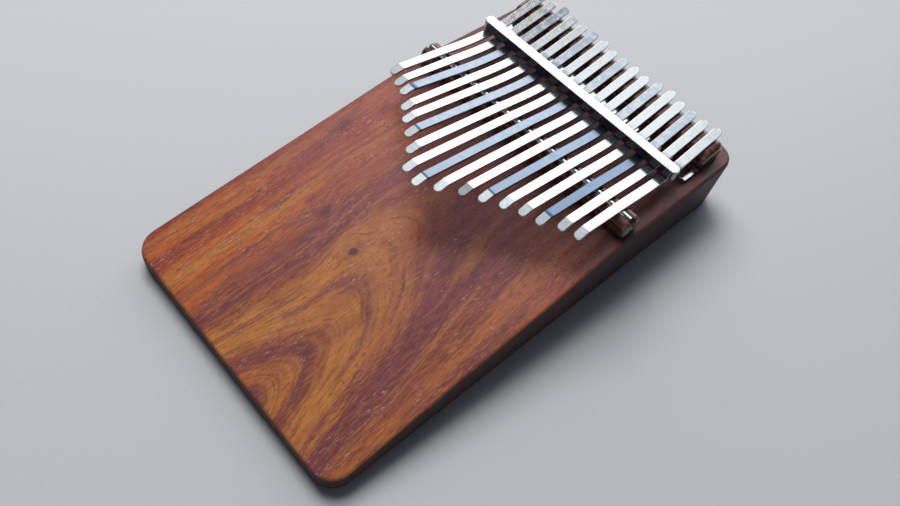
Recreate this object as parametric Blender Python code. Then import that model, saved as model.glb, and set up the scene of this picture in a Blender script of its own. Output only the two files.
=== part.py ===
"""A seventeen-tine board mbira (thumb piano), built as separate named pieces.

Frame: metres, +Z up, the board's flat underside on Z = 0, the player at -Y.
+X is the player's right. The tines lie along Y, their free ends toward -Y.
"""

import math

import bmesh
import bpy

# ---- driving dimensions (metres) -------------------------------------------------
TINE_PITCH = 0.0066
TINE_WIDTH_TIP = 0.0037
TINE_WIDTH_ROD = 0.0041
TINE_WIDTH_TAIL = 0.0043
TINE_THICKNESS = 0.0011
TIP_PAD_LENGTH = 0.0056
# The short bend behind the pad, and how much steeper the pad falls than the tongue.
BEND_LENGTH = 0.0024
PAD_DROP = 0.30
TIP_CHAMFER = 0.0011
STATION_SPACING = 0.0035

BOARD_LENGTH = 0.2226
BOARD_WIDTH_FRONT = 0.1250
BOARD_WIDTH_REAR = 0.1282
BED_HEIGHT = 0.029
PLAYING_SLOPE = math.radians(8.2)
BOARD_CORNER_RADIUS = 0.0095
BOARD_EDGE_RADIUS = 0.0012

ROD_RADIUS = 0.0015
BAR_WIDTH = 0.0051
BAR_HEIGHT = 0.00445
SHANK_RADIUS = 0.0009

# Touching pieces keep this gap, so that every solid stays a solid of its own.
GAP = 0.0003

# Free length of each tine from the front rod to its tip, in millimetres, from the
# player's left to right: the lowest note in the middle, rising to both sides in turn.
FREE_LENGTHS_MM = (28.7, 32.1, 34.9, 39.8, 44.8, 49.3, 54.2, 61.4, 62.5,
                   57.1, 50.6, 46.2, 41.4, 37.5, 34.7, 29.1, 26.9)
# How far each tine's tail reaches behind the rod, and how much higher than the
# common rise its tip has been bent, both in millimetres.
TAIL_LENGTHS_MM = (66.5, 66.2, 68.3, 67.4, 66.8, 67.4, 67.0, 65.4, 65.8,
                   65.9, 65.1, 66.7, 67.6, 66.0, 65.6, 65.7, 66.5)
TIP_LIFTS_MM = (0.0, 0.0, 1.6, 0.2, 1.2, 1.3, 0.3, 0.0, -1.0,
                -1.0, -0.7, -0.7, -0.8, -0.8, -1.1, -1.1, -0.9)
# Every third tine is blued, to guide the player's eye.
BLUED_EVERY = 3

# ---- places worked out from the driving dimensions ---------------------------------
TINE_COUNT = len(FREE_LENGTHS_MM)
MIDDLE = (TINE_COUNT - 1) / 2
ROD_Y = 0.0368
RIDGE_Y = ROD_Y - 0.0052

# Heights above the bed, and distances behind the front rod.
ROD_CENTRE = 0.0075
ROD_TOP = ROD_CENTRE + ROD_RADIUS
BAR_FRONT = 0.0294
BAR_BACK = BAR_FRONT + BAR_WIDTH

TINE_TOP_AT_ROD = ROD_TOP + GAP + TINE_THICKNESS
TINE_TOP_AT_BAR = 0.00735
BAR_BOTTOM = TINE_TOP_AT_BAR + GAP
BAR_TOP = BAR_BOTTOM + BAR_HEIGHT

REAR_BRIDGE_FRONT = 0.0514
REAR_BRIDGE_BACK = 0.0660
STRIP_FRONT = 0.0404
STRIP_BACK = REAR_BRIDGE_FRONT - GAP

FRONT_BRIDGE_LENGTH = 0.123
ROD_LENGTH = 0.1185
REAR_BRIDGE_LENGTH = 0.1172
BRIDGE_END_RADIUS = 0.0022
STRIP_LENGTH = 0.1168
BAR_LENGTH = 0.114

# The clamp screws rise through gaps between tines, counted in pitches from the middle.
SCREW_PITCHES = (-7.5, -2.5, 2.5, 7.5)
SCREW_Y = ROD_Y + (BAR_FRONT + BAR_BACK) / 2
COUNTERBORE_DEPTH = 0.0105
COUNTERBORE_RADIUS = 0.0036
WASHER_RADIUS = 0.0029
WASHER_THICKNESS = 0.0005
SCREW_HEAD_RADIUS = 0.0019
SCREW_HEAD_HEIGHT = 0.0018
SCREW_END = BED_HEIGHT + BAR_BOTTOM + 0.0026

# Where a tine's clamped part ends and its free tongue starts, in front of the rod.
BREAK_Y = ROD_Y - 0.00185


def material(name, colour, metallic, roughness):
    """A Principled material in one colour."""
    found = bpy.data.materials.get(name)
    if found:
        return found
    made = bpy.data.materials.new(name)
    made.use_nodes = True
    shader = made.node_tree.nodes["Principled BSDF"]
    shader.inputs["Base Color"].default_value = (*colour, 1.0)
    shader.inputs["Metallic"].default_value = metallic
    shader.inputs["Roughness"].default_value = roughness
    made.diffuse_color = (*colour, 1.0)
    return made


def rosewood():
    return material("rosewood", (0.30, 0.10, 0.04), 0.0, 0.35)


def dark_wood():
    return material("dark_wood", (0.12, 0.045, 0.025), 0.0, 0.3)


def polished_steel():
    return material("polished_steel", (0.80, 0.80, 0.80), 1.0, 0.12)


def spring_steel():
    return material("spring_steel", (0.86, 0.87, 0.88), 1.0, 0.2)


def blued_steel():
    return material("blued_steel", (0.36, 0.50, 0.72), 1.0, 0.22)


def screw_steel():
    return material("screw_steel", (0.55, 0.55, 0.57), 1.0, 0.3)


def add_object(name, mesh, look, origin=(0.0, 0.0, 0.0)):
    """Link a mesh as a named object whose origin lies at the given point."""
    made = bpy.data.objects.new(name, mesh)
    made.location = origin
    mesh.materials.append(look)
    bpy.context.scene.collection.objects.link(made)
    return made


def mesh_from(name, points, faces, origin=(0.0, 0.0, 0.0)):
    """A closed mesh from world points and faces, stored about an origin."""
    shifted = [tuple(value - base for value, base in zip(point, origin)) for point in points]
    mesh = bpy.data.meshes.new(name)
    mesh.from_pydata(shifted, [], faces)
    work = bmesh.new()
    work.from_mesh(mesh)
    bmesh.ops.recalc_face_normals(work, faces=work.faces)
    work.to_mesh(mesh)
    work.free()
    mesh.update()
    return mesh


def shade_round(made, sharp_degrees=40.0):
    """Shade an object smooth, keeping edges sharper than the given angle."""
    made.data.shade_smooth()
    made.data.set_sharp_from_angle(angle=math.radians(sharp_degrees))


def arc(centre, radius, start_degrees, end_degrees, steps):
    """Points along a circular arc, both ends included."""
    points = []
    for step in range(steps + 1):
        angle = math.radians(start_degrees + (end_degrees - start_degrees) * step / steps)
        points.append((centre[0] + radius * math.cos(angle), centre[1] + radius * math.sin(angle)))
    return points


def prism_along_x(name, outline, length, look):
    """Extrude a (y, z) outline along X, centred on X = 0."""
    count = len(outline)
    points = [(side * length / 2, y, z) for side in (-1, 1) for y, z in outline]
    faces = [tuple(range(count)), tuple(range(2 * count - 1, count - 1, -1))]
    for index in range(count):
        following = (index + 1) % count
        faces.append((index, following, count + following, count + index))
    made = add_object(name, mesh_from(name, points, faces), look)
    shade_round(made)
    return made


def round_ended_block(name, outline, length, radius, look):
    """Extrude a (y, z) outline along X and round over both of its ends.

    Towards an end the outline shrinks about the middle of its underside.
    """
    ys = [y for y, _ in outline]
    zs = [z for _, z in outline]
    middle = (min(ys) + max(ys)) / 2
    half_depth = (max(ys) - min(ys)) / 2
    bottom = min(zs)
    height = max(zs) - bottom
    turns = [math.radians(degrees) for degrees in (90, 67.5, 45, 22.5, 0)]
    stations = [(-length / 2 + radius * (1 - math.sin(turn)), radius * (1 - math.cos(turn))) for turn in turns]
    stations.extend([(-x, inset) for x, inset in reversed(stations)])
    count = len(outline)
    points = []
    for x, inset in stations:
        narrowed = 1 - inset / half_depth
        lowered = 1 - inset / height
        for y, z in outline:
            points.append((x, middle + (y - middle) * narrowed, bottom + (z - bottom) * lowered))
    last = count * (len(stations) - 1)
    faces = [tuple(range(count)), tuple(range(last + count - 1, last - 1, -1))]
    for start in range(0, last, count):
        for index in range(count):
            following = (index + 1) % count
            faces.append((start + index, start + following, start + count + following, start + count + index))
    made = add_object(name, mesh_from(name, points, faces), look)
    shade_round(made)
    return made


def prism_along_z(name, outline, bottom, top, look):
    """Extrude an (x, y) outline between two heights."""
    count = len(outline)
    points = [(x, y, z) for z in (bottom, top) for x, y in outline]
    faces = [tuple(range(count)), tuple(range(2 * count - 1, count - 1, -1))]
    for index in range(count):
        following = (index + 1) % count
        faces.append((index, following, count + following, count + index))
    return add_object(name, mesh_from(name, points, faces), look)


def turned(name, profile, centre, look, segments=24):
    """Turn a closed (radius, z) profile about a vertical axis."""
    points = []
    faces = []
    rings = []
    for radius, z in profile:
        if radius == 0.0:
            rings.append([len(points)])
            points.append((centre[0], centre[1], z))
            continue
        ring = []
        for step in range(segments):
            angle = 2 * math.pi * step / segments
            ring.append(len(points))
            points.append((centre[0] + radius * math.cos(angle), centre[1] + radius * math.sin(angle), z))
        rings.append(ring)
    for index, lower in enumerate(rings):
        upper = rings[(index + 1) % len(rings)]
        if len(lower) == 1 and len(upper) == 1:
            continue
        for step in range(segments):
            following = (step + 1) % segments
            if len(lower) == 1:
                faces.append((lower[0], upper[following], upper[step]))
            elif len(upper) == 1:
                faces.append((lower[step], lower[following], upper[0]))
            else:
                faces.append((lower[step], lower[following], upper[following], upper[step]))
    made = add_object(name, mesh_from(name, points, faces), look)
    shade_round(made)
    return made


def mark_as_cutter(made):
    made.hide_render = True
    made.display_type = "WIRE"


def cut(target, cutter):
    """Subtract a cutter from an object."""
    mark_as_cutter(cutter)
    boolean = target.modifiers.new("cut_" + cutter.name, "BOOLEAN")
    boolean.operation = "DIFFERENCE"
    boolean.object = cutter


def rounded_rectangle(half_x, half_y, radius, steps):
    """An (x, y) rectangle with round corners, anticlockwise."""
    points = []
    for sign_x, sign_y, start in ((1, 1, 0), (-1, 1, 90), (-1, -1, 180), (1, -1, 270)):
        centre = (sign_x * (half_x - radius), sign_y * (half_y - radius))
        points.extend(arc(centre, radius, start, start + 90, steps))
    return points


def screw_x(index):
    return SCREW_PITCHES[index] * TINE_PITCH


def make_board():
    """The solid board: flat under the tines, sloping down to a thin playing edge."""
    mean_width = (BOARD_WIDTH_FRONT + BOARD_WIDTH_REAR) / 2
    flare = (BOARD_WIDTH_REAR - BOARD_WIDTH_FRONT) / mean_width / BOARD_LENGTH
    square = rounded_rectangle(mean_width / 2, BOARD_LENGTH / 2, BOARD_CORNER_RADIUS, 8)
    outline = [(x * (1 + flare * y), y) for x, y in square]
    board = prism_along_z("board", outline, 0.0, BED_HEIGHT, rosewood())
    work = bmesh.new()
    work.from_mesh(board.data)
    slope_normal = (0.0, -math.sin(PLAYING_SLOPE), math.cos(PLAYING_SLOPE))
    everything = list(work.verts) + list(work.edges) + list(work.faces)
    cut_result = bmesh.ops.bisect_plane(work, geom=everything, plane_co=(0.0, RIDGE_Y, BED_HEIGHT),
                                        plane_no=slope_normal, clear_outer=True)
    rim = [item for item in cut_result["geom_cut"] if isinstance(item, bmesh.types.BMEdge)]
    bmesh.ops.contextual_create(work, geom=[edge for edge in rim if edge.is_boundary])
    bmesh.ops.recalc_face_normals(work, faces=work.faces)
    work.to_mesh(board.data)
    work.free()
    rounding = board.modifiers.new("edge_rounding", "BEVEL")
    rounding.width = BOARD_EDGE_RADIUS
    rounding.segments = 3
    rounding.limit_method = "ANGLE"
    rounding.angle_limit = math.radians(50)
    for index in range(len(SCREW_PITCHES)):
        bore = SHANK_RADIUS + GAP
        profile = ((0.0, -0.001), (COUNTERBORE_RADIUS, -0.001), (COUNTERBORE_RADIUS, COUNTERBORE_DEPTH),
                   (bore, COUNTERBORE_DEPTH), (bore, BED_HEIGHT + 0.001), (0.0, BED_HEIGHT + 0.001))
        cutter = turned(f"board_bore_{index + 1}", profile, (screw_x(index), SCREW_Y), rosewood())
        cut(board, cutter)
    shade_round(board, 30)
    return board


def make_front_bridge():
    """A rounded hardwood block with a groove along its crest for the rod."""
    front = -0.0048
    back = 0.0054
    crest = 0.0083
    shoulder = 0.0030
    groove = ROD_RADIUS + GAP
    rise = math.degrees(math.asin((crest - ROD_CENTRE) / groove))
    near = arc((front + shoulder, crest - shoulder), shoulder, 180, 90, 7)
    groove_arc = arc((0.0, ROD_CENTRE), groove, 180 - rise, 360 + rise, 12)
    far = arc((back - shoulder, crest - shoulder), shoulder, 90, 0, 7)
    outline = [(front, GAP)] + near + groove_arc + far + [(back, GAP)]
    placed = [(ROD_Y + y, BED_HEIGHT + z) for y, z in outline]
    return round_ended_block("front_bridge", placed, FRONT_BRIDGE_LENGTH, BRIDGE_END_RADIUS, dark_wood())


def make_front_rod():
    """The round steel rod that the tines bear on."""
    outline = arc((ROD_Y, BED_HEIGHT + ROD_CENTRE), ROD_RADIUS, 0, 345, 23)
    return prism_along_x("front_rod", outline, ROD_LENGTH, polished_steel())


def make_rear_bridge():
    """A wide hardwood block, round-shouldered, whose top climbs with the tines' tails."""
    shoulder = 0.0045
    front_height = 0.0090
    back_height = 0.0099
    near = arc((REAR_BRIDGE_FRONT + shoulder, front_height - shoulder), shoulder, 180, 95, 8)
    far = arc((REAR_BRIDGE_BACK - shoulder, back_height - shoulder), shoulder, 95, 0, 8)
    outline = [(REAR_BRIDGE_FRONT, GAP)] + near + far + [(REAR_BRIDGE_BACK, GAP)]
    placed = [(ROD_Y + y, BED_HEIGHT + z) for y, z in outline]
    return round_ended_block("rear_bridge", placed, REAR_BRIDGE_LENGTH, BRIDGE_END_RADIUS, dark_wood())


def make_rear_strip():
    """The flat steel strip that lies on the bed against the rear bridge."""
    bevel = 0.0004
    top = 0.002
    outline = [(STRIP_FRONT, GAP), (STRIP_FRONT, top - bevel), (STRIP_FRONT + bevel, top),
               (STRIP_BACK - bevel, top), (STRIP_BACK, top - bevel), (STRIP_BACK, GAP)]
    placed = [(ROD_Y + y, BED_HEIGHT + z) for y, z in outline]
    return prism_along_x("rear_strip", placed, STRIP_LENGTH, polished_steel())


def make_pressure_bar():
    """The square steel bar that clamps every tine, round-ended and drilled from below."""
    round_end = BAR_WIDTH / 2 - 0.0002
    outline = rounded_rectangle(BAR_LENGTH / 2, BAR_WIDTH / 2, round_end, 6)
    placed = [(x, SCREW_Y + y) for x, y in outline]
    bar = prism_along_z("pressure_bar", placed, BED_HEIGHT + BAR_BOTTOM, BED_HEIGHT + BAR_TOP,
                        polished_steel())
    rounding = bar.modifiers.new("edge_rounding", "BEVEL")
    rounding.width = 0.0003
    rounding.segments = 2
    rounding.limit_method = "ANGLE"
    rounding.angle_limit = math.radians(50)
    for index in range(len(SCREW_PITCHES)):
        bore = SHANK_RADIUS + GAP
        low = BED_HEIGHT + BAR_BOTTOM - 0.001
        high = SCREW_END + GAP
        profile = ((0.0, low), (bore, low), (bore, high), (0.0, high))
        cutter = turned(f"bar_bore_{index + 1}", profile, (screw_x(index), SCREW_Y), polished_steel())
        cut(bar, cutter)
    shade_round(bar, 35)
    return bar


def make_washer(index):
    """The flat washer between a screw's head and the floor of its counterbore."""
    top = COUNTERBORE_DEPTH - GAP
    bottom = top - WASHER_THICKNESS
    inner = SHANK_RADIUS + GAP
    profile = ((inner, bottom), (WASHER_RADIUS, bottom), (WASHER_RADIUS, top), (inner, top))
    return turned(f"clamp_washer_{index + 1}", profile, (screw_x(index), SCREW_Y), screw_steel())


def make_screw(index):
    """A cap screw that rises through the board between two tines into the bar."""
    head_top = COUNTERBORE_DEPTH - WASHER_THICKNESS - 2 * GAP
    head_bottom = head_top - SCREW_HEAD_HEIGHT
    chamfer = 0.0003
    profile = ((0.0, head_bottom), (SCREW_HEAD_RADIUS - chamfer, head_bottom),
               (SCREW_HEAD_RADIUS, head_bottom + chamfer), (SCREW_HEAD_RADIUS, head_top),
               (SHANK_RADIUS, head_top), (SHANK_RADIUS, SCREW_END - chamfer),
               (SHANK_RADIUS - chamfer, SCREW_END), (0.0, SCREW_END))
    place = (screw_x(index), SCREW_Y)
    screw = turned(f"clamp_screw_{index + 1}", profile, place, screw_steel(), 18)
    socket_radius = 0.0009
    low = head_bottom - 0.001
    high = head_bottom + 0.0011
    socket_profile = ((0.0, low), (socket_radius, low), (socket_radius, high), (0.0, high))
    socket = turned(f"screw_socket_{index + 1}", socket_profile, place, screw_steel(), 6)
    cut(screw, socket)
    return screw


def smooth_step(value):
    """0 to 1 with level ends."""
    held = min(max(value, 0.0), 1.0)
    return held * held * (3 - 2 * held)


def tine_top(behind_rod, free_length, tip_lift):
    """Height of a tine's top face above the bed, at a distance behind the rod.

    The tine lies level under the bar, springs up over the rod, arches forward
    and turns down at its tip pad. Behind the bar its tail climbs straight.
    """
    level_front = BAR_FRONT - 0.002
    level_back = BAR_BACK + 0.0015
    rod_slope = 0.143 + tip_lift / free_length
    if behind_rod >= level_back:
        run = behind_rod - level_back
        easing = 0.006
        tail_slope = 0.185
        eased = min(run, easing)
        return TINE_TOP_AT_BAR + tail_slope * (eased ** 2 / (2 * easing) + max(run - easing, 0.0))
    if behind_rod >= level_front:
        return TINE_TOP_AT_BAR
    if behind_rod >= 0.0:
        part = (level_front - behind_rod) / level_front
        lift = TINE_TOP_AT_ROD - TINE_TOP_AT_BAR
        end_rise = rod_slope * level_front
        blend = part ** 2 * (3 - 2 * part)
        return TINE_TOP_AT_BAR + lift * blend + end_rise * (part ** 3 - part ** 2)
    ahead = -behind_rod
    arch = 0.1
    height = TINE_TOP_AT_ROD + rod_slope * ahead - arch * ahead ** 2
    past_bend = ahead - (free_length - TIP_PAD_LENGTH)
    start = past_bend + BEND_LENGTH / 2
    if start > 0.0:
        turned_part = min(start, BEND_LENGTH)
        height -= PAD_DROP * (turned_part ** 2 / (2 * BEND_LENGTH) + max(start - BEND_LENGTH, 0.0))
    return height


def tine_half_width(behind_rod, free_length, tail_length):
    """Half a tine's width: widest at its tail, narrowing past the rod to the tip."""
    if behind_rod >= 0.0:
        share = behind_rod / tail_length
        return (TINE_WIDTH_ROD + (TINE_WIDTH_TAIL - TINE_WIDTH_ROD) * share) / 2
    share = -behind_rod / free_length
    return (TINE_WIDTH_ROD + (TINE_WIDTH_TIP - TINE_WIDTH_ROD) * share) / 2


def strip_solid(name, stations, x, top_at, look, origin):
    """A bent flat strip through (y, half width) stations, back to front."""
    points = []
    for y, half_width in stations:
        top = top_at(y)
        for side, height in ((-1, top), (1, top), (1, top - TINE_THICKNESS), (-1, top - TINE_THICKNESS)):
            points.append((x + side * half_width, y, height))
    faces = [(3, 2, 1, 0)]
    for index in range(len(stations) - 1):
        here = 4 * index
        there = here + 4
        for corner in range(4):
            following = (corner + 1) % 4
            faces.append((here + corner, here + following, there + following, there + corner))
    last = 4 * (len(stations) - 1)
    faces.append((last, last + 1, last + 2, last + 3))
    made = add_object(name, mesh_from(name, points, faces, origin), look, origin)
    shade_round(made, 30)
    return made


def make_tine(number):
    """One tine: the clamped part as far as the rod, and the free tongue in front."""
    free_length = FREE_LENGTHS_MM[number - 1] / 1000
    tail_length = TAIL_LENGTHS_MM[number - 1] / 1000
    tip_lift = TIP_LIFTS_MM[number - 1] / 1000
    x = (number - 1 - MIDDLE) * TINE_PITCH
    look = blued_steel() if number % BLUED_EVERY == 0 else spring_steel()

    def top_at(y):
        return BED_HEIGHT + tine_top(y - ROD_Y, free_length, tip_lift)

    def half_at(y):
        return tine_half_width(y - ROD_Y, free_length, tail_length)

    def straight(start, end):
        """(y, half width) stations from one place to another, without the first."""
        steps = max(round(abs(end - start) / STATION_SPACING), 1)
        places = [start + (end - start) * step / steps for step in range(1, steps + 1)]
        return [(y, half_at(y)) for y in places]

    tail_half = TINE_WIDTH_TAIL / 2
    tail_centre = ROD_Y + tail_length - tail_half
    shank = []
    for degrees in (78, 58, 38, 20, 0):
        angle = math.radians(degrees)
        shank.append((tail_centre + tail_half * math.sin(angle), tail_half * math.cos(angle)))
    shank.extend(straight(tail_centre, BREAK_Y + GAP / 2))
    pivot = (x, BREAK_Y, top_at(BREAK_Y) - TINE_THICKNESS / 2)
    strip_solid(f"tine_{number:02d}_shank", shank, x, top_at, look, pivot)

    tip = ROD_Y - free_length
    tongue_start = BREAK_Y - GAP / 2
    bend_back = tip + TIP_PAD_LENGTH + BEND_LENGTH / 2
    bend_front = tip + TIP_PAD_LENGTH - BEND_LENGTH / 2
    tongue = [(tongue_start, half_at(tongue_start))]
    tongue.extend(straight(tongue_start, bend_back))
    for y in ((bend_back + bend_front) / 2, bend_front, tip + TIP_CHAMFER):
        tongue.append((y, half_at(y)))
    tongue.append((tip, half_at(tip) - TIP_CHAMFER))
    strip_solid(f"tine_{number:02d}_tongue", tongue, x, top_at, look, pivot)


def main():
    for existing in list(bpy.data.objects):
        bpy.data.objects.remove(existing)
    make_board()
    make_front_bridge()
    make_front_rod()
    make_rear_bridge()
    make_rear_strip()
    make_pressure_bar()
    for index in range(len(SCREW_PITCHES)):
        make_washer(index)
        make_screw(index)
    for number in range(1, TINE_COUNT + 1):
        make_tine(number)


main()
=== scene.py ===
"""The looks of a seventeen-tine board mbira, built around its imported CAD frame.

Everything is in metres in the frame's own axes: +Z up, +Y away from the player,
+X to the player's right. Shaders work in millimetres, from object coordinates.
"""

import math
import random

import bpy
from mathutils import Matrix, Vector


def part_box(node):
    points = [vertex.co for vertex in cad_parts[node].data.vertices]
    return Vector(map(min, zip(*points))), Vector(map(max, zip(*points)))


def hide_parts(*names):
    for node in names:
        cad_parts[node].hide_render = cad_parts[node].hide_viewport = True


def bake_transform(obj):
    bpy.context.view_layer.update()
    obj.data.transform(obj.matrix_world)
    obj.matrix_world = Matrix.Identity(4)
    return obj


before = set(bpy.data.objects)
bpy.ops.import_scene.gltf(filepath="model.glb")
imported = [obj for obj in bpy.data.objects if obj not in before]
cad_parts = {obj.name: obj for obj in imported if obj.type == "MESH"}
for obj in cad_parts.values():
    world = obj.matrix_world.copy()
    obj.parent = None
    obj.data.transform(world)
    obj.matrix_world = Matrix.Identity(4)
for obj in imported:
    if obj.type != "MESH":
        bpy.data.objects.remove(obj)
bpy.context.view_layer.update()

MM = 1000.0


# ---- what the frame says ------------------------------------------------------------
def count_nodes(start, end=""):
    """How many CAD nodes have a name with this start and this end."""
    return sum(name.startswith(start) and name.endswith(end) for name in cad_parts)


TINE_COUNT = count_nodes("tine_", "_tongue")
SCREW_COUNT = count_nodes("clamp_screw_")
BLUED_EVERY = 3
BOARD_LOW, BOARD_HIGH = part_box("board")
ROD_LOW, ROD_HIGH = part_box("front_rod")
ROD_Y = (ROD_LOW.y + ROD_HIGH.y) / 2
FRONT_EDGE = BOARD_LOW.y
RIDGE_AHEAD_OF_ROD = 0.0052
RIDGE_Y = ROD_Y - RIDGE_AHEAD_OF_ROD   # where the board's playing slope starts

# ---- camera -------------------------------------------------------------------------
CAMERA_PLACE = (0.1218, -0.1543, 0.2608)
CAMERA_HEADING_DEGREES = 127.16
CAMERA_PITCH_DEGREES = 55.23
CAMERA_ROLL_DEGREES = 13.1
CAMERA_LENS = 30.0
CAMERA_SENSOR = 36.0
CAMERA_CLIP_START = 0.01


# ---- shader graph helper --------------------------------------------------------------
class Graph:
    """One material's nodes, with short ways to add and link them."""

    def __init__(self, name):
        self.material = bpy.data.materials.new(name)
        self.material.use_nodes = True
        self.nodes = self.material.node_tree.nodes
        self.links = self.material.node_tree.links
        self.shader = self.nodes["Principled BSDF"]
        coordinates = self.nodes.new("ShaderNodeTexCoord")
        self.normal = coordinates.outputs["Normal"]
        self.place = self.vector("SCALE", coordinates.outputs["Object"], scale=MM)

    def feed(self, socket, value):
        """Link a socket, or set a plain value."""
        if isinstance(value, bpy.types.NodeSocket):
            self.links.new(value, socket)
        else:
            socket.default_value = value

    def surface(self, colour, roughness, normal, **constants):
        """Feed the shader and return the material; constants are other sockets' plain values."""
        self.feed(self.shader.inputs["Base Color"], colour)
        self.feed(self.shader.inputs["Roughness"], roughness)
        self.feed(self.shader.inputs["Normal"], normal)
        for name, value in constants.items():
            self.shader.inputs[name.replace("_", " ").title()].default_value = value
        return self.material

    def math(self, operation, first, second=0.0, third=0.0):
        node = self.nodes.new("ShaderNodeMath")
        node.operation = operation
        for socket, value in zip(node.inputs, (first, second, third)):
            self.feed(socket, value)
        return node.outputs[0]

    def vector(self, operation, first, second=(0.0, 0.0, 0.0), scale=1.0):
        node = self.nodes.new("ShaderNodeVectorMath")
        node.operation = operation
        self.feed(node.inputs[0], first)
        self.feed(node.inputs[1], second)
        if operation == "SCALE":
            self.feed(node.inputs["Scale"], scale)
        return node.outputs["Vector"]

    def separate(self, vector):
        node = self.nodes.new("ShaderNodeSeparateXYZ")
        self.feed(node.inputs[0], vector)
        return node.outputs["X"], node.outputs["Y"], node.outputs["Z"]

    def combine(self, x, y, z):
        node = self.nodes.new("ShaderNodeCombineXYZ")
        for socket, value in zip(node.inputs, (x, y, z)):
            self.feed(socket, value)
        return node.outputs[0]

    def noise(self, place, scale, detail=2.0, roughness=0.5, distortion=0.0):
        node = self.nodes.new("ShaderNodeTexNoise")
        self.feed(node.inputs["Vector"], place)
        node.inputs["Scale"].default_value = scale
        node.inputs["Detail"].default_value = detail
        node.inputs["Roughness"].default_value = roughness
        node.inputs["Distortion"].default_value = distortion
        return node.outputs["Fac"]

    def stretched_noise(self, place, stretch, scale, detail=2.0, roughness=0.5, distortion=0.0):
        """Noise whose spots are longer along some axes than along others."""
        squeezed = self.vector("MULTIPLY", place, stretch)
        return self.noise(squeezed, scale, detail, roughness, distortion)

    def smooth(self, value, low, high, to_low=0.0, to_high=1.0):
        """A value taken smoothly from one range to another, and held at its ends."""
        node = self.nodes.new("ShaderNodeMapRange")
        node.interpolation_type = "SMOOTHSTEP"
        self.feed(node.inputs["Value"], value)
        self.feed(node.inputs["From Min"], low)
        self.feed(node.inputs["From Max"], high)
        self.feed(node.inputs["To Min"], to_low)
        self.feed(node.inputs["To Max"], to_high)
        return node.outputs["Result"]

    def ramp(self, factor, stops):
        """A colour ramp; each stop is a place from 0 to 1 and a colour."""
        node = self.nodes.new("ShaderNodeValToRGB")
        elements = node.color_ramp.elements
        while len(elements) < len(stops):
            elements.new(0.5)
        for element, (position, colour) in zip(elements, stops):
            element.position = position
            element.color = (*colour, 1.0)
        self.feed(node.inputs[0], factor)
        return node.outputs["Color"]

    def mix(self, factor, first, second):
        """The first colour where the factor is 0, the second where it is 1."""
        node = self.nodes.new("ShaderNodeMix")
        node.data_type = "RGBA"
        self.feed(node.inputs["Factor"], factor)
        for name, value in (("A", first), ("B", second)):
            socket = [found for found in node.inputs if found.name == name and found.type == "RGBA"][0]
            self.feed(socket, value if isinstance(value, bpy.types.NodeSocket) else (*value, 1.0))
        return [found for found in node.outputs if found.type == "RGBA"][0]

    def tint(self, colour, tint, where, start, full, amount):
        """Bring a tint in smoothly: none of it where a value is at start, the amount where it is full."""
        return self.mix(self.smooth(where, start, full, 0.0, amount), colour, tint)

    def stain(self, colour, tint, weight, amount):
        """Bring a tint in by a weight from 0 to 1, up to the amount."""
        return self.mix(self.math("MULTIPLY", weight, amount), colour, tint)

    def bump(self, height, strength, distance_mm, normal=None):
        node = self.nodes.new("ShaderNodeBump")
        node.inputs["Strength"].default_value = strength
        node.inputs["Distance"].default_value = distance_mm / MM
        self.feed(node.inputs["Height"], height)
        if normal is not None:
            self.feed(node.inputs["Normal"], normal)
        return node.outputs["Normal"]

    def squared_share(self, value, middle, reach):
        """How far a value is from a middle, as a share of a reach, squared."""
        return self.math("POWER", self.math("DIVIDE", self.math("SUBTRACT", value, middle), reach), 2.0)

    def spot(self, x, y, centre, size):
        """1 at a centre, falling to 0 over an oval of the given half sizes."""
        across = self.squared_share(x, centre[0], size[0])
        along = self.squared_share(y, centre[1], size[1])
        return self.math("EXPONENT", self.math("MULTIPLY", self.math("ADD", across, along), -1.0))


# ---- wood: colours ------------------------------------------------------------------
GOLD = (0.50, 0.190, 0.045)
ORANGE = (0.50, 0.125, 0.028)
AMBER = (0.43, 0.135, 0.042)
BROWN = (0.30, 0.085, 0.040)
RUSSET = (0.31, 0.062, 0.032)
PLUM = (0.195, 0.052, 0.055)
DARK_PLUM = (0.085, 0.020, 0.028)
PALE_FIBRE = (0.62, 0.26, 0.10)
KNOT_CORE = (0.050, 0.014, 0.016)
SMUDGE = (0.075, 0.018, 0.030)
PLUM_CAST = (0.235, 0.060, 0.060)
# Painted sheen: the next colour is a greyer haze standing in for the polish reflecting the sky.
PAINTED_REAR_SHEEN = (0.30, 0.100, 0.110)
PORE = (0.050, 0.012, 0.012)
# Partly painted glint: the next colour is pale filled pores together with the light glinting off them.
PALE_FLECK_GLINT = (0.50, 0.34, 0.34)
EDGE_STAIN = (0.17, 0.038, 0.026)
# Painted shade: the next colour darkens the bed under the tines, as if the tines and bridges shaded it.
BED_SHADE = (0.045, 0.017, 0.024)
# Painted shade: the next colour darkens the board's sides as if they stood in shadow.
SIDE_SHADE = (0.022, 0.007, 0.008)
BRIDGE_FIBRE = (0.030, 0.009, 0.007)
BRIDGE_END = (0.022, 0.007, 0.006)

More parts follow.
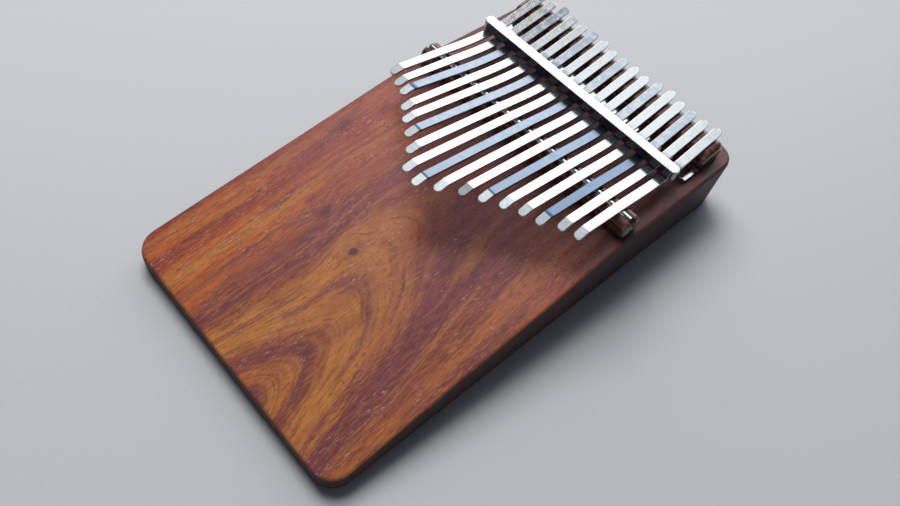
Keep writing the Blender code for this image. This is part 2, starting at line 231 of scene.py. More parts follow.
# ---- wood: the figure, in mm ----------------------------------------------------------
FIGURE_START = FRONT_EDGE * MM + 1.5   # distances along the board are counted from here
ARCH_X = 20.0                          # where the figure's arches have their middle
ARCH_ROUNDNESS = 26.0                  # how bluntly they close
ARCH_LEAN = 13.0                       # how far their tips lean to the player's left
ARCH_LEAN_FROM = 30.0                  # the lean grows between these two distances along the board
ARCH_LEAN_TO = 85.0
ARCH_LEAN_CENTRE = (8.0, -45.0)        # and fades out away from this oval
ARCH_LEAN_SIZE = (26.0, 90.0)
RIGHT_SLANT = 0.85                     # sideways shift of the fanning rings for each mm along
RIGHT_SPREAD = 0.0122                  # how fast they draw apart along the board
RIGHT_LEAST_SLANT = 0.38               # the slant they keep near the right edge
LEFT_SLANT = -0.28
LEFT_SPREAD = 0.0125
RING_CORNER = 3.0                      # rounding between slanting rings and straighter ones
SIDE_BLEND = 5.0                       # half the strip where the two sides' colours meet
KNOT_EYE = (-0.7, -49.5)
KNOT_PAIR = (-24.0, -47.5)

# The figure's colours by distance from the middle of the arches, in mm.
RIGHT_BANDS = [
    (0.0, BROWN), (4.5, PLUM), (7.5, GOLD), (10.0, AMBER), (12.5, PLUM), (15.0, BROWN),
    (18.0, GOLD), (24.0, GOLD), (27.5, AMBER), (31.0, PLUM), (36.0, PLUM), (40.0, BROWN),
    (43.0, AMBER), (46.0, BROWN), (50.0, ORANGE), (54.0, BROWN), (61.0, AMBER), (84.0, PLUM)]
LEFT_BANDS = [
    (0.0, BROWN), (4.5, PLUM), (7.5, AMBER), (10.0, AMBER), (13.0, PLUM), (16.0, BROWN),
    (20.0, GOLD), (24.0, GOLD), (29.0, GOLD), (32.0, BROWN), (35.5, PLUM), (39.0, PLUM),
    (42.0, BROWN), (45.5, ORANGE), (49.0, BROWN), (53.0, ORANGE), (57.0, GOLD), (61.0, ORANGE),
    (65.0, RUSSET), (69.0, RUSSET), (72.5, ORANGE), (75.5, AMBER), (79.0, RUSSET), (84.0, PLUM)]
FIGURE_REACH = 84.0

# Dark marks in the wood: place and half sizes in mm, and how strong each one is.
SMUDGES = (((-23.5, -47.0), (2.6, 4.2), 0.85), ((-32.0, -47.5), (1.5, 2.8), 0.75),
           ((-52.5, -15.0), (2.8, 7.0), 0.90), ((-50.5, -33.0), (3.0, 8.0), 0.50),
           ((-20.5, -58.0), (2.0, 8.0), 0.50), ((-0.7, -49.5), (3.2, 5.0), 0.40),
           ((22.0, -66.0), (2.2, 9.0), 0.35), ((37.0, -24.0), (3.0, 16.0), 0.35))


def fanned(g, x, along, slant, spread):
    """Sideways places in rings that slant across the board and draw apart along it."""
    slanted = g.math("MULTIPLY_ADD", along, slant, x)
    return g.math("DIVIDE", slanted, g.math("MULTIPLY_ADD", along, spread, 1.0))


def growth_rings(g, x, y):
    """The plank's growth rings, as a distance from the arch figure's middle line.

    Left of the middle the rings run almost straight along the board; right of it
    they fan out towards the front edge; where both meet they close in long arches.
    """
    along = g.math("SUBTRACT", y, FIGURE_START)
    lean = g.smooth(along, ARCH_LEAN_FROM, ARCH_LEAN_TO, 0.0, ARCH_LEAN)
    x = g.math("MULTIPLY_ADD", lean, g.spot(x, y, ARCH_LEAN_CENTRE, ARCH_LEAN_SIZE), x)
    fan = fanned(g, x, along, RIGHT_SLANT, RIGHT_SPREAD)
    steep = g.math("MULTIPLY_ADD", along, RIGHT_LEAST_SLANT, x)
    right = g.math("SUBTRACT", g.math("SMOOTH_MIN", fan, steep, RING_CORNER), ARCH_X)
    leaning = fanned(g, x, along, LEFT_SLANT, LEFT_SPREAD)
    left = g.math("SUBTRACT", ARCH_X, g.math("SMOOTH_MIN", leaning, x, RING_CORNER))
    rings = g.math("SMOOTH_MAX", right, left, ARCH_ROUNDNESS)
    side = g.smooth(g.math("SUBTRACT", right, left), -SIDE_BLEND, SIDE_BLEND)

    # The rings swerve round the knots.
    for centre, size, swerve in ((KNOT_PAIR, (6.0, 8.0), 4.0), (KNOT_EYE, (5.0, 7.0), -6.0)):
        rings = g.math("MULTIPLY_ADD", g.spot(x, y, centre, size), swerve, rings)
    return rings, side


def figure_colour(g, rings, side):
    """The broad bands of colour that follow the growth rings."""
    scaled = g.math("DIVIDE", rings, FIGURE_REACH)
    right = g.ramp(scaled, [(place / FIGURE_REACH, colour) for place, colour in RIGHT_BANDS])
    left = g.ramp(scaled, [(place / FIGURE_REACH, colour) for place, colour in LEFT_BANDS])
    return g.mix(side, left, right)


def streaked(g, colour, rings, y, z):
    """Dark and pale streaks: some follow the rings, some run straight along the fibres."""
    grain = g.combine(rings, g.math("MULTIPLY", y, 0.030), g.math("MULTIPLY", z, 0.3))
    plum_streaks = g.noise(grain, scale=0.36, detail=3.0, roughness=0.55)
    colour = g.tint(colour, PLUM, plum_streaks, start=0.50, full=0.66, amount=0.72)
    elsewhere = g.vector("ADD", grain, (57.0, 3.0, 0.0))
    gold_streaks = g.noise(elsewhere, scale=0.50, detail=3.0, roughness=0.55)
    colour = g.tint(colour, GOLD, gold_streaks, start=0.52, full=0.68, amount=0.60)
    fine = g.noise(grain, scale=1.5, detail=4.0, roughness=0.65)
    colour = g.tint(colour, DARK_PLUM, fine, start=0.46, full=0.64, amount=0.50)
    x = g.separate(g.place)[0]
    straight = g.combine(x, g.math("MULTIPLY", y, 0.055), g.math("MULTIPLY", z, 0.5))
    fibres = g.noise(straight, scale=2.2, detail=4.0, roughness=0.70)
    colour = g.tint(colour, DARK_PLUM, fibres, start=0.50, full=0.68, amount=0.42)
    colour = g.tint(colour, PALE_FIBRE, fibres, start=0.50, full=0.34, amount=0.38)
    return colour, fine, fibres


def knotted(g, colour, swaying_x, y):
    """The eye-shaped knot's dark core, and the smudges in the wood."""
    eye = g.spot(swaying_x, y, KNOT_EYE, (1.7, 2.2))
    colour = g.tint(colour, KNOT_CORE, eye, start=0.15, full=0.75, amount=0.85)
    for centre, size, amount in SMUDGES:
        colour = g.stain(colour, SMUDGE, g.spot(swaying_x, y, centre, size), amount)
    return colour


def cast(g, colour, x, y):
    """A patchy plum cast, and a greyer painted sheen that grows towards the rear and left."""
    patches = g.stretched_noise(g.place, (1.0, 0.35, 1.0), scale=0.055, detail=3.0, roughness=0.6)
    colour = g.tint(colour, PLUM_CAST, patches, start=0.50, full=0.70, amount=0.45)
    # Painted sheen: a greyer haze for the polished top reflecting a pale sky, growing towards the rear and
    # left.
    rearward = g.math("MULTIPLY_ADD", x, -0.35, y)
    return g.tint(colour, PAINTED_REAR_SHEEN, rearward, start=-75.0, full=0.0, amount=0.40)


def pored(g, colour):
    """Open pores: short dark dashes, and in places pale ones, for pores filled with polish and for painted
    glints off them.
    """
    dashes = g.stretched_noise(g.place, (1.0, 0.075, 1.0), scale=3.4, detail=1.0, roughness=0.4)
    pores = g.smooth(dashes, 0.64, 0.71)
    colour = g.stain(colour, PORE, pores, amount=0.55)
    elsewhere = g.vector("ADD", g.place, (31.0, 7.0, 3.0))
    pale_dashes = g.stretched_noise(elsewhere, (1.0, 0.14, 1.0), scale=1.9)
    patches = g.stretched_noise(g.place, (1.0, 0.5, 1.0), scale=0.085)
    flecks_and_glints = g.math("MULTIPLY", g.smooth(pale_dashes, 0.62, 0.70), g.smooth(patches, 0.44, 0.60))
    # Partly painted glint: pale flecks for polish-filled pores and for the light glinting off them.
    colour = g.stain(colour, PALE_FLECK_GLINT, flecks_and_glints, amount=0.66)
    return colour, pores


def stained_and_shaded(g, colour, x, y):
    """Deeper stain along the edges; painted shade on the bed under the tines and on the sides that don't
    face up.
    """
    low = BOARD_LOW.x * MM
    high = BOARD_HIGH.x * MM
    by_left_edge = g.smooth(x, low, low + 5.0, to_low=1.0, to_high=0.0)
    by_right_edge = g.smooth(x, high - 4.0, high)
    colour = g.stain(colour, EDGE_STAIN, g.math("MAXIMUM", by_left_edge, by_right_edge), amount=0.30)
    ridge = RIDGE_Y * MM
    # Painted shade: the bed behind the ridge, under the tines, darkens towards near black as if the tines
    # shaded it.
    colour = g.tint(colour, BED_SHADE, y, start=ridge - 26.0, full=ridge + 4.0, amount=0.78)
    # Painted shade: faces that don't face up are darkened almost to black, as sides in shadow; the same
    # mask also makes them duller.
    facing_up = g.separate(g.normal)[2]
    shaded_sides = g.smooth(facing_up, 0.30, 0.85, to_low=1.0, to_high=0.0)
    colour = g.stain(colour, SIDE_SHADE, shaded_sides, amount=0.82)
    return colour, shaded_sides


def board_material():
    """Rosewood-like plank: gold and red-brown arches, plum streaks, knots and open pores."""
    g = Graph("board_rosewood")
    x, y, z = g.separate(g.place)
    waves = g.stretched_noise(g.place, (1.0, 0.22, 1.0), scale=0.11, detail=3.0)
    sway = g.math("MULTIPLY", g.math("SUBTRACT", waves, 0.5), 4.5)
    swaying_x = g.math("ADD", g.math("MULTIPLY_ADD", z, 0.12, x), sway)
    rings, side = growth_rings(g, swaying_x, y)
    colour = figure_colour(g, rings, side)
    colour, fine, fibres = streaked(g, colour, rings, y, z)
    colour = knotted(g, colour, swaying_x, y)
    colour = cast(g, colour, x, y)
    colour, pores = pored(g, colour)
    colour, shaded_sides = stained_and_shaded(g, colour, x, y)

    # Polished in patches; dull in the pores, in the fine dark grain and on the cut sides.
    polish = g.smooth(g.noise(g.place, scale=0.06, detail=3.0), 0.3, 0.7, to_low=0.32, to_high=0.42)
    roughness = g.math("ADD", polish, g.math("MULTIPLY", pores, 0.25))
    roughness = g.math("MULTIPLY_ADD", fine, 0.10, roughness)
    roughness = g.math("MULTIPLY_ADD", shaded_sides, 0.45, roughness)
    grain_height = g.math("SUBTRACT", g.math("MULTIPLY", fibres, 0.35), pores)
    normal = g.bump(grain_height, strength=0.35, distance_mm=0.06)
    normal = g.bump(g.noise(g.place, scale=0.045), strength=0.35, distance_mm=0.5, normal=normal)
    return g.surface(colour, roughness, normal, coat_weight=0.12, coat_roughness=0.22)


def bridge_material():
    """Dark lacquered hardwood with its grain along the bridge, and end faces darker for end grain and for
    painted shade.
    """
    g = Graph("bridge_hardwood")
    streaks = g.stretched_noise(g.place, (0.06, 1.0, 1.0), scale=0.55, detail=4.0, roughness=0.6,
                                distortion=0.3)
    colour = g.ramp(streaks, [(0.30, (0.040, 0.012, 0.008)), (0.46, (0.100, 0.032, 0.016)),
                              (0.58, (0.190, 0.066, 0.026)), (0.74, (0.060, 0.018, 0.011))])
    fibres = g.stretched_noise(g.place, (0.08, 1.0, 1.0), scale=3.2, detail=3.0, roughness=0.6)
    colour = g.tint(colour, BRIDGE_FIBRE, fibres, start=0.4, full=0.7, amount=0.45)
    # Partly painted shade: the end faces are darkened for their end grain and for the shade they stand in.
    end_grain_and_shade = g.math("ABSOLUTE", g.separate(g.normal)[0])
    colour = g.tint(colour, BRIDGE_END, end_grain_and_shade, start=0.45, full=0.90, amount=0.75)
    roughness = g.smooth(streaks, 0.3, 0.7, to_low=0.22, to_high=0.34)
    normal = g.bump(fibres, strength=0.25, distance_mm=0.05)
    return g.surface(colour, roughness, normal, coat_weight=0.7, coat_roughness=0.12)


# ---- metals ---------------------------------------------------------------------------
CHROME = (0.88, 0.88, 0.89)
BAR_STEEL = (0.90, 0.90, 0.90)
# Painted shade: the next colour darkens the bar's sides, which reflect dark surroundings.
BAR_SIDE_SHADE = (0.10, 0.095, 0.10)
SMEAR_SHADE = 0.86


def polished_material(name, tint, painted_dark_sides=False):
    """Chromed or polished steel: bright, with faint polishing lines and soft smears."""
    g = Graph(name)
    smears = g.noise(g.place, scale=0.35, detail=3.0, roughness=0.6)
    lines = g.stretched_noise(g.place, (0.04, 1.0, 1.0), scale=9.0)
    smeared = tuple(SMEAR_SHADE * part for part in tint)
    colour = g.mix(g.smooth(smears, 0.35, 0.7), tint, smeared)
    # Painted shade: faces that don't face up are darkened, as sides that reflect dark surroundings.
    if painted_dark_sides:
        facing_up = g.separate(g.normal)[2]
        sides = g.smooth(facing_up, 0.2, 0.7, to_low=0.75, to_high=0.0)
        colour = g.mix(sides, colour, BAR_SIDE_SHADE)
    sheen = g.smooth(smears, 0.35, 0.7, to_low=0.07, to_high=0.15)
    roughness = g.math("ADD", sheen, g.math("MULTIPLY", lines, 0.06))
    normal = g.bump(lines, strength=0.10, distance_mm=0.02)
    return g.surface(colour, roughness, normal, metallic=1.0)


def screw_material():
    """Plain steel of the screws and washers, turned and a little dull."""
    g = Graph("screw_steel")
    specks = g.noise(g.place, scale=2.2, detail=4.0, roughness=0.6)
    colour = g.ramp(specks, [(0.35, (0.36, 0.35, 0.34)), (0.62, (0.56, 0.56, 0.57)),
                             (0.8, (0.44, 0.40, 0.36))])
    roughness = g.smooth(specks, 0.3, 0.7, to_low=0.26, to_high=0.44)
    normal = g.bump(specks, strength=0.25, distance_mm=0.04)
    return g.surface(colour, roughness, normal, metallic=1.0)


# ---- tines: steel -----------------------------------------------------------------------
# How grey each tine's pad is painted, for the dimmer surroundings it reflects: 0 is bright, 1 is the
# darkest.
PAD_REFLECTION_GREYS = {1: 0.25, 2: 0.35, 3: 0.0, 4: 0.15, 5: 0.05, 6: 0.45, 7: 0.35, 8: 0.15, 9: 0.0, 10: 0.0,
             11: 0.9, 12: 0.15, 13: 0.0, 14: 0.4, 15: 0.45, 16: 0.3, 17: 0.3}
BRIGHT_PAD = 0.90          # a bright pad's reflectance
PAD_GREY_LOSS = 0.52       # what the darkest grey takes from it

# How deep the heat tint of each blued tine is, and what the deepest one takes from red, green and blue.
BLUING_DEPTHS = {3: 0.20, 6: 0.20, 9: 0.33, 12: 0.65, 15: 1.0}
DEEPEST_BLUING = (0.48, 0.39, 0.265)
# How far behind the pad each blued tine's painted dark reflection band reaches, in mm.
DARK_REFLECTION_REACHES = {3: 2.6, 6: 1.5, 9: 1.2, 12: 1.2, 15: 1.9}
DARK_REFLECTION_BAND = (0.036, 0.070, 0.160)
TAIL_FROM_Y = 66.0         # the blued tines' tails turn from blue to tarnished silver here, in mm
TAIL_TO_Y = 72.0
DARK_TARNISH = (0.56, 0.61, 0.68)
PALE_TARNISH = (0.76, 0.76, 0.79)
CREASE_BLUR = 0.15         # half the width of the change of colour at the pad's crease, in mm


def blued_tone(number, colour):
    """A colour of blued steel, as deep as this tine's tint is."""
    depth = BLUING_DEPTHS[number]
    return tuple(part * (1.0 - depth * loss) for part, loss in zip(colour, DEEPEST_BLUING))


def silver_body(g, mottle):
    """Bright spring steel, a little mottled."""
    return g.ramp(mottle, [(0.30, (0.80, 0.82, 0.83)), (0.55, (0.88, 0.88, 0.88)),
                           (0.8, (0.83, 0.84, 0.85))])


def blued_body(g, number, mottle, along, crease):
    """Heat-blued steel with a painted dark reflection band behind the pad and a tarnished tail."""
    body = g.ramp(mottle, [(0.30, blued_tone(number, (0.285, 0.340, 0.420))),
                           (0.50, blued_tone(number, (0.335, 0.385, 0.455))),
                           (0.72, blued_tone(number, (0.390, 0.430, 0.490)))])
    # Painted reflection: a dark blue band just behind the crease, where the bent steel reflects darker
    # surroundings.
    reach = DARK_REFLECTION_REACHES[number]
    past_crease = g.smooth(along, crease - 2 * CREASE_BLUR, crease + 2 * CREASE_BLUR)
    within_reach = g.smooth(along, crease + 0.5 * reach, crease + 1.3 * reach, to_low=1.0, to_high=0.0)
    body = g.stain(body, DARK_REFLECTION_BAND, g.math("MULTIPLY", past_crease, within_reach), amount=0.92)
    tail = g.smooth(g.separate(g.place)[1], TAIL_FROM_Y, TAIL_TO_Y)
    tarnish = g.mix(g.smooth(mottle, 0.40, 0.62), DARK_TARNISH, PALE_TARNISH)
    return g.mix(tail, body, tarnish)


def pad_colour(g, number, mottle):
    """The pad at the tip, greyed by a painted dim reflection."""
    tone = BRIGHT_PAD - PAD_GREY_LOSS * PAD_REFLECTION_GREYS[number]
    return g.ramp(mottle, [(0.36, (0.86 * tone, 0.88 * tone, 0.92 * tone)), (0.52, (tone, tone, tone)),
                           (0.68, (0.91 * tone, 0.92 * tone, 0.94 * tone))])


def tine_material(number, blued):
    """Flat spring steel: brushed along its length, thumbed smooth at the tip pad.

    The "along" attribute is the distance from the tip in millimetres.
    """
    g = Graph(f"tine_{number:02d}_steel")
    attribute = g.nodes.new("ShaderNodeAttribute")
    attribute.attribute_name = "along"
    along = attribute.outputs["Fac"]
    crease = PAD_LENGTH * MM
    lines = g.stretched_noise(g.place, (1.0, 0.03, 1.0), scale=7.0, detail=3.0, roughness=0.6)
    own_place = g.vector("ADD", g.place, (13.0 * number, 0.0, 0.0))
    mottle = g.noise(own_place, scale=0.32, detail=3.0, roughness=0.55)
    pad = g.smooth(along, crease - CREASE_BLUR, crease + CREASE_BLUR, to_low=1.0, to_high=0.0)
    body = blued_body(g, number, mottle, along, crease) if blued else silver_body(g, mottle)
    # Painted reflection: the pad's colour is greyed, as the tilted pad reflects dimmer surroundings.
    colour = g.mix(pad, body, pad_colour(g, number, mottle))
    sheen = g.smooth(mottle, 0.3, 0.7, to_low=0.13, to_high=0.20)
    roughness = g.math("ADD", sheen, g.math("MULTIPLY", lines, 0.08))
    roughness = g.math("MULTIPLY_ADD", pad, 0.05, roughness)
    normal = g.bump(lines, strength=0.10, distance_mm=0.03)
    normal = g.bump(mottle, strength=0.06, distance_mm=0.05, normal=normal)
    return g.surface(colour, roughness, normal, metallic=1.0)


# ---- tines: shape -----------------------------------------------------------------------
EDGE_ROUND = 0.0002        # rounding of the strip's long edges
PAD_LENGTH = 0.0056        # from the tip to the crease
TIP_CORNER = 0.0011        # how far back the tip's cut corners reach
TIP_END_SHARE = 0.42       # the blunt end's share of the full width
TIP_ARC = 0.3 * EDGE_ROUND  # the middle station of the blunt end's rounding, from the tip and the faces
TIP_CORNER_BOW = 0.15      # how much of the cut corner's rise is bowed and not straight
CREASE_HALF = 0.0001       # half the crease's own length
BEHIND_CREASE = 0.001      # the CAD rows from here back are straight tine, not bend
PAD_TILT = 0.015           # how differently the pads lean, as a slope
STATION_SPACING = 0.0011
CORNER_SHARES = (0.35, 0.62, 0.82, 0.94, 1.0)      # stations along a tip's cut corner
PAD_SHARES = (0.35, 0.7)                           # and from there to the crease
TAIL_DEGREES = (15, 30, 45, 58, 70, 80)            # and round the rear end
TAIL_EASED_FROM = 70       # from this angle on, the round end's top and bottom ease inward
TAIL_EASING = 0.4 * EDGE_ROUND
TAIL_END_SHARE = 0.12      # the round end's last station, as a share of the full width
WIDEST_BEFORE_END = 0.003  # where a tail has its full width, ahead of its rear end
TAIL_HOLD = 0.004          # how far ahead of the round end the width is held to that
ROUND_END = 0.002          # the CAD rows nearer the rear end than this belong to its rounding
ROW_SLACK = 0.00001        # rounding error in where a CAD row is
SETTLE = 0.0001            # how far a tongue settles in front of the rod
SETTLE_RUN = 0.02          # over this length
MOST_ROUNDING = 0.6        # a narrow station's edge rounding, as a share of its half width
ARC_EASING = 0.29          # from a quarter circle's middle to its corner's sides, as a share of its radius
SHARP_DEGREES = 20
SEED = 17


def cad_profile(name):
    """The CAD tine's rows of points from tip to rear: (y, top, bottom, half width) and its middle x."""
    rows = {}
    xs = []
    for part in ("shank", "tongue"):
        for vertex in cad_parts[f"{name}_{part}"].data.vertices:
            x, y, z = vertex.co
            rows.setdefault(round(y, 5), []).append((x, z))
            xs.append(x)
    middle = (min(xs) + max(xs)) / 2
    profile = []
    for y in sorted(rows):
        heights = [z for _, z in rows[y]]
        half = max(abs(x - middle) for x, _ in rows[y])
        profile.append((y, max(heights), min(heights), half))
    return profile, middle


def interpolate(places, values, wanted):
    """A smooth curve through sorted samples, by cubic steps between them."""
    if wanted <= places[0]:
        return values[0]
    if wanted >= places[-1]:
        return values[-1]
    index = 0
    while places[index + 1] < wanted:
        index += 1
    before = max(index - 1, 0)
    after = min(index + 2, len(places) - 1)
    span = places[index + 1] - places[index]
    part = (wanted - places[index]) / span
    slope_here = (values[index + 1] - values[before]) / (places[index + 1] - places[before]) * span
    slope_next = (values[after] - values[index]) / (places[after] - places[index]) * span
    squared = part * part
    cubed = squared * part
    return (values[index] * (2 * cubed - 3 * squared + 1) + slope_here * (cubed - 2 * squared + part)
            + values[index + 1] * (3 * squared - 2 * cubed) + slope_next * (cubed - squared))


def tine_height(places, tops, tip, lean):
    """A function for the top face's height, with a crisp crease behind the flat pad."""
    crease = tip + PAD_LENGTH
    behind = [(y, top) for y, top in zip(places, tops) if y > crease + BEHIND_CREASE]
    rear_places = [y for y, _ in behind]
    rear_tops = [top for _, top in behind]
    slope = (rear_tops[1] - rear_tops[0]) / (rear_places[1] - rear_places[0])
    crease_top = rear_tops[0] + slope * (crease - rear_places[0])
    pad_slope = (crease_top - tops[0]) / PAD_LENGTH + lean

    def height(y):
        if y >= rear_places[0]:
            return interpolate(rear_places, rear_tops, y)
        if y >= crease:
            return crease_top + slope * (y - crease)
        return crease_top + pad_slope * (y - crease)

    return height


def tip_stations(tip, half_at):
    """(y, half width, rounding inset) from the blunt tip, past its cut corners, to the crease."""
    end_half = half_at(tip + TIP_CORNER) * TIP_END_SHARE
    stations = [(tip, end_half - EDGE_ROUND, EDGE_ROUND),
                (tip + TIP_ARC, end_half, TIP_ARC),
                (tip + EDGE_ROUND, end_half + EDGE_ROUND, 0.0)]
    shoulder = tip + EDGE_ROUND + TIP_CORNER
    shoulder_half = half_at(shoulder)
    for share in CORNER_SHARES:
        bowed = math.sin(share * math.pi / 2)
        rise = bowed * TIP_CORNER_BOW + share * (1.0 - TIP_CORNER_BOW)
        width = end_half + EDGE_ROUND + (shoulder_half - end_half - EDGE_ROUND) * rise
        stations.append((tip + EDGE_ROUND + share * TIP_CORNER, width, 0.0))
    crease = tip + PAD_LENGTH
    for share in PAD_SHARES:
        y = shoulder + share * (crease - shoulder)
        stations.append((y, half_at(y), 0.0))
    for offset in (-CREASE_HALF, CREASE_HALF):
        stations.append((crease + offset, half_at(crease), 0.0))
    return stations


def tine_stations(tip, rear, half_at):
    """(y, half width, rounding inset) from the tip to the round rear end."""
    stations = tip_stations(tip, half_at)
    start = stations[-1][0]
    rear_half = half_at(rear - WIDEST_BEFORE_END)
    straight_end = rear - rear_half
    steps = round((straight_end - start) / STATION_SPACING)
    for step in range(1, steps + 1):
        y = start + (straight_end - start) * step / steps
        half = half_at(y)
        if y > straight_end - TAIL_HOLD:
            half = min(half, rear_half)
        stations.append((y, half, 0.0))
    for degrees in TAIL_DEGREES:
        angle = math.radians(degrees)
        inset = 0.0 if degrees < TAIL_EASED_FROM else TAIL_EASING
        stations.append((straight_end + rear_half * math.sin(angle), rear_half * math.cos(angle), inset))
    stations.append((rear, TAIL_END_SHARE * rear_half, EDGE_ROUND))
    return stations


def section(half, thickness, inset):
    """A flat strip's cross-section with rounded corners, as (x, distance below the top)."""
    rounding = min(EDGE_ROUND, MOST_ROUNDING * half)
    easing = ARC_EASING * rounding
    top = inset
    bottom = thickness - inset
    return [(0.0, top), (half - rounding, top), (half - easing, top + easing), (half, top + rounding),
            (half, bottom - rounding), (half - easing, bottom - easing), (half - rounding, bottom),
            (0.0, bottom), (rounding - half, bottom), (easing - half, bottom - easing),
            (-half, bottom - rounding), (-half, top + rounding), (easing - half, top + easing),
            (rounding - half, top)]


def sharpen_crease(mesh, crease):
    """Mark the edges that run across the tine at its crease as sharp."""
    reach = 2 * CREASE_HALF
    for edge in mesh.edges:
        first, second = (mesh.vertices[index].co.y for index in edge.vertices)
        if abs(first - second) < CREASE_HALF / 10 and abs(first - crease) < reach:
            edge.use_edge_sharp = True


def skinned(loops):
    """Faces that join the loops of point numbers one after another, closed at both ends."""
    faces = []
    for here, there in zip(loops, loops[1:]):
        for index in range(len(here)):
            following = (index + 1) % len(here)
            faces.append((here[index], here[following], there[following], there[index]))
    faces.append(tuple(reversed(loops[0])))
    faces.append(tuple(loops[-1]))
    return faces


def tine_mesh(name, middle, thickness, height, stations):
    """The strip's mesh through its stations, with the distance from the tip as an attribute."""
    tip = stations[0][0]
    points = []
    along = []
    loops = []
    for y, half, inset in stations:
        settle = SETTLE * min(max((ROD_Y - y) / SETTLE_RUN, 0.0), 1.0)
        loop = []
        for across, down in section(half, thickness, inset):
            loop.append(len(points))
            points.append((middle + across, y, height(y) - settle - down))
            along.append((y - tip) * MM)
        loops.append(loop)
    mesh = bpy.data.meshes.new(name)
    mesh.from_pydata(points, [], skinned(loops))
    mesh.validate()
    attribute = mesh.attributes.new("along", "FLOAT", "POINT")
    attribute.data.foreach_set("value", along)
    mesh.shade_smooth()
    mesh.set_sharp_from_angle(angle=math.radians(SHARP_DEGREES))
    sharpen_crease(mesh, tip + PAD_LENGTH)
    return mesh


def build_tine(number, rng):
    """One continuous tine in place of its two CAD solids."""
    name = f"tine_{number:02d}"
    blued = number % BLUED_EVERY == 0
    profile, middle = cad_profile(name)
    places = [row[0] for row in profile]
    tops = [row[1] for row in profile]
    thickness = profile[0][1] - profile[0][2]
    tip = places[0]
    rear = places[-1]
    first_full = tip + TIP_CORNER - ROW_SLACK
    last_full = rear - ROUND_END
    full = [(row[0], row[3]) for row in profile if first_full <= row[0] <= last_full]
    width_places = [y for y, _ in full]
    widths = [half for _, half in full]
    height = tine_height(places, tops, tip, rng.uniform(-PAD_TILT, PAD_TILT))

    def half_at(y):
        return interpolate(width_places, widths, y)

    mesh = tine_mesh(name, middle, thickness, height, tine_stations(tip, rear, half_at))
    mesh.materials.append(tine_material(number, blued))
    tine = bpy.data.objects.new(name, mesh)
    bpy.context.scene.collection.objects.link(tine)
    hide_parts(f"{name}_shank", f"{name}_tongue")
    pivot_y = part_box(f"{name}_tongue")[1].y
    level = height(pivot_y)
    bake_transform(tine)
    return tine


# ---- set ----------------------------------------------------------------------------------
FLOOR_REACH = 4.0


def paint(node, material):
    """Give a CAD node one material in place of its own."""
    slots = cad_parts[node].data.materials
    slots.clear()
    slots.append(material)


def floor_material():
    """Pale matt paper."""
    g = Graph("floor_paper")
    fibre = g.noise(g.place, scale=0.8, detail=4.0, roughness=0.6)
    colour = g.mix(fibre, (0.50, 0.52, 0.55), (0.56, 0.58, 0.61))
    return g.surface(colour, roughness=0.9, normal=g.bump(fibre, strength=0.3, distance_mm=0.15))


def make_floor():
    """A wide sheet of paper under the instrument."""
    mesh = bpy.data.meshes.new("floor")
    corners = [(x * FLOOR_REACH, y * FLOOR_REACH, 0.0) for x, y in ((-1, -1), (1, -1), (1, 1), (-1, 1))]
    mesh.from_pydata(corners, [], [(0, 1, 2, 3)])
    mesh.materials.append(floor_material())
    floor = bpy.data.objects.new("floor", mesh)
    bpy.context.scene.collection.objects.link(floor)


def direction(azimuth_degrees, elevation_degrees):
    """The unit vector towards a place in the sky."""
    azimuth = math.radians(azimuth_degrees)
    elevation = math.radians(elevation_degrees)
    level = math.cos(elevation)
    return Vector((level * math.cos(azimuth), level * math.sin(azimuth), math.sin(elevation)))


def make_camera():
    """The photograph's viewing angle."""
    forward = direction(CAMERA_HEADING_DEGREES, -CAMERA_PITCH_DEGREES)
    right = forward.cross(Vector((0, 0, 1))).normalized()
    up = right.cross(forward)
    roll = math.radians(CAMERA_ROLL_DEGREES)
    rolled_right = right * math.cos(roll) + up * math.sin(roll)
    rolled_up = up * math.cos(roll) - right * math.sin(roll)
    axes = Matrix((rolled_right, rolled_up, -forward)).transposed().to_4x4()
    data = bpy.data.cameras.new("camera")
    data.lens = CAMERA_LENS
    data.sensor_width = CAMERA_SENSOR
    data.clip_start = CAMERA_CLIP_START
    camera = bpy.data.objects.new("camera", data)
    camera.matrix_world = Matrix.Translation(CAMERA_PLACE) @ axes
    bpy.context.scene.collection.objects.link(camera)
    bpy.context.scene.camera = camera


def area_light(name, toward, distance, size, power, colour):
    """A soft box that faces the instrument from a direction."""
    data = bpy.data.lights.new(name, "AREA")
    data.shape = "RECTANGLE"
    data.size, data.size_y = size
    data.energy = power
    data.color = colour
    light = bpy.data.objects.new(name, data)
    light.location = toward * distance
    light.rotation_euler = toward.to_track_quat("Z", "Y").to_euler()
    bpy.context.scene.collection.objects.link(light)
    return light


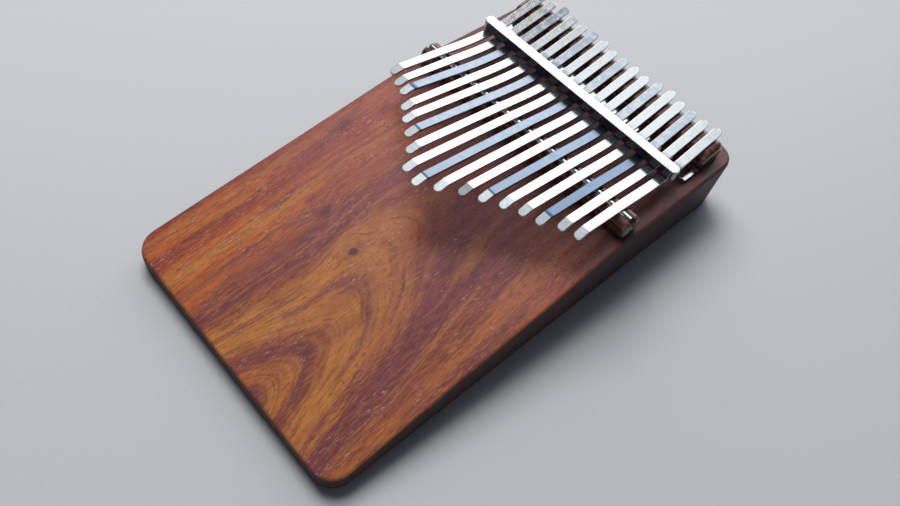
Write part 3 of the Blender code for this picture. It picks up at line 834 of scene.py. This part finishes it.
def make_lights():
    """Four soft lights round the instrument.

    A wide window-like softbox behind, a panel in front that only the polished faces
    see, a soft key at the left that they don't see, and a dim cool light overhead.
    """
    area_light("rear_softbox", direction(122, 28), distance=1.5, size=(1.7, 0.92), power=9.4,
               colour=(1.0, 0.99, 0.98))
    panel = area_light("front_panel", direction(-45, 24), distance=1.6, size=(1.8, 1.0), power=4.2,
                       colour=(1.0, 0.99, 0.97))
    panel.visible_diffuse = False
    key = area_light("left_key", direction(158, 58), distance=1.4, size=(0.80, 0.80), power=18.5,
                     colour=(1.0, 0.98, 0.95))
    key.visible_glossy = False
    area_light("overhead", direction(140, 63), distance=1.4, size=(0.95, 0.55), power=1.75,
               colour=(0.91, 0.97, 1.0))


def make_room():
    """Dim, cool surroundings that light the set a little and look pale behind it."""
    world = bpy.data.worlds.new("room")
    world.use_nodes = True
    nodes = world.node_tree.nodes
    links = world.node_tree.links
    dim = nodes["Background"]
    dim.inputs["Color"].default_value = (0.62, 0.70, 0.85, 1.0)
    dim.inputs["Strength"].default_value = 0.10
    pale = nodes.new("ShaderNodeBackground")
    pale.inputs["Color"].default_value = (0.52, 0.55, 0.58, 1.0)
    choose = nodes.new("ShaderNodeMixShader")
    links.new(nodes.new("ShaderNodeLightPath").outputs["Is Camera Ray"], choose.inputs["Fac"])
    links.new(dim.outputs["Background"], choose.inputs[1])
    links.new(pale.outputs["Background"], choose.inputs[2])
    links.new(choose.outputs[0], nodes["World Output"].inputs["Surface"])
    bpy.context.scene.world = world


def main():
    make_camera()
    make_lights()
    make_room()
    bpy.context.scene.view_settings.view_transform = "Standard"
    make_floor()
    paint("board", board_material())
    bridge = bridge_material()
    paint("front_bridge", bridge)
    paint("rear_bridge", bridge)
    chrome = polished_material("chromed_steel", CHROME)
    for node in ("front_rod", "rear_strip"):
        paint(node, chrome)
    paint("pressure_bar", polished_material("bar_steel", BAR_STEEL, painted_dark_sides=True))
    steel = screw_material()
    for index in range(1, SCREW_COUNT + 1):
        paint(f"clamp_screw_{index}", steel)
        paint(f"clamp_washer_{index}", steel)
    rng = random.Random(SEED)
    for number in range(1, TINE_COUNT + 1):
        build_tine(number, rng)


main()
